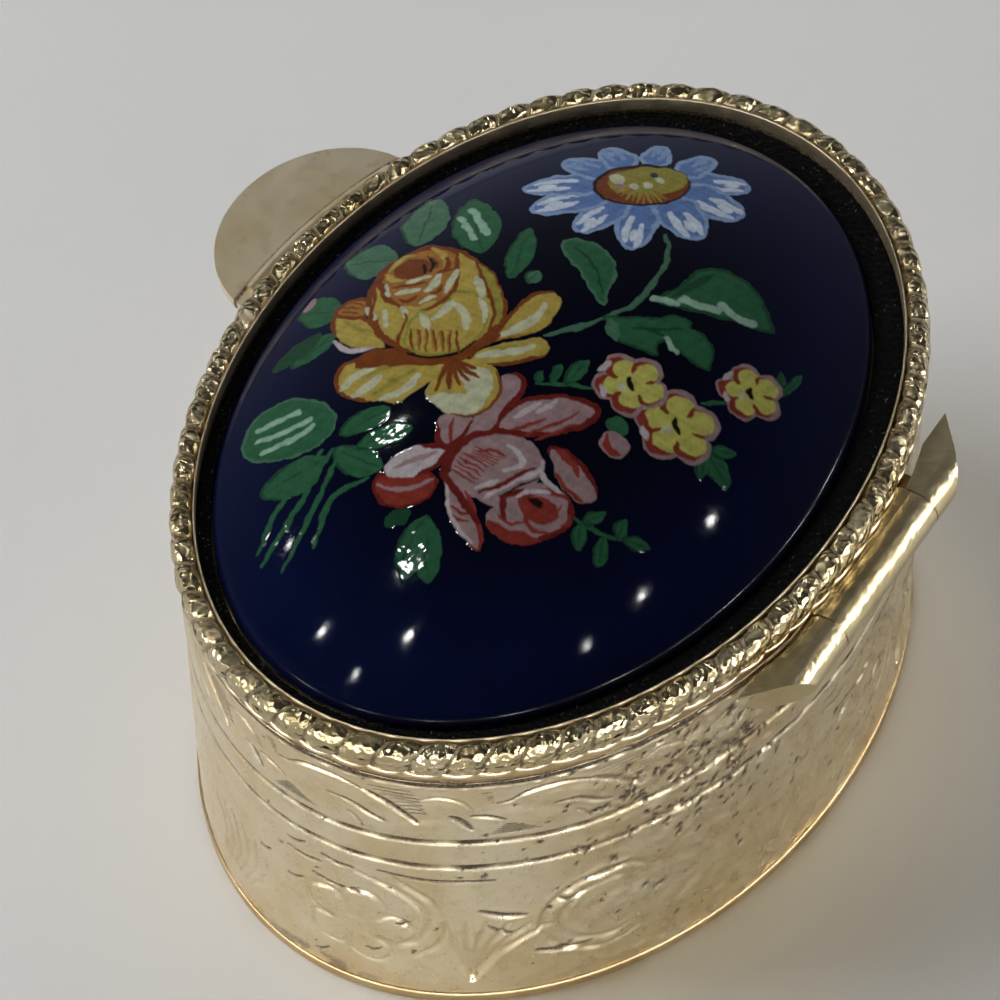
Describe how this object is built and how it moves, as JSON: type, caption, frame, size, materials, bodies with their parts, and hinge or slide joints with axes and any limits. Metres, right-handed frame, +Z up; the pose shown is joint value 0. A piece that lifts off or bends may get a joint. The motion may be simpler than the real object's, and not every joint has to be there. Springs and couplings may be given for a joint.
{
  "type": "pill box",
  "caption": "Oval gilt pill box with an engraved wall, a hinged lid with a rope bezel and a domed porcelain cabochon, and a thumb tab.",
  "frame": {"origin": "centre of the flat bottom face", "axes": "+Z up, +X along the long axis, -Y towards the thumb tab, +Y towards the hinge"},
  "size_m": [0.045, 0.0398, 0.0249],
  "materials": {
    "gilt_brass": "pale gilt, semi-gloss, engraved and lightly worn",
    "gilt_plain": "pale gilt, smooth",
    "hinge_pin_brass": "drawn wire",
    "navy_glaze": "high-gloss glaze with an enamel flower transfer",
    "black_felt": "short black nap",
    "card": "matt card",
    "adhesive": "dull set glue"
  },
  "bodies": {
    "case": {"case_bottom": "gilt_plain", "case_wall": "gilt_brass", "case_rim": "gilt_plain", "case_knuckle_right": "gilt_plain", "case_knuckle_left": "gilt_plain", "case_hinge_leaf": "gilt_plain", "hinge_pin": "hinge_pin_brass", "catch_nib": "gilt_plain"},
    "lid": {"lid_plate": "gilt_plain", "lid_skirt": "gilt_plain", "bezel_wall": "gilt_plain", "rope_bezel": "gilt_brass", "felt_ring": "black_felt", "adhesive_pad": "adhesive", "backing_card": "card", "cabochon": "navy_glaze", "thumb_tab": "gilt_plain", "lid_hinge_leaf": "gilt_plain", "lid_knuckle": "gilt_plain", "catch_tongue": "gilt_plain"}
  },
  "joints": [
    {"name": "lid_hinge", "type": "hinge", "parent": "case", "child": "lid", "pos_m": [0, 0.01725, 0.01812], "axis": [-1, 0, 0], "range_deg": [0, 100]}
  ]
}
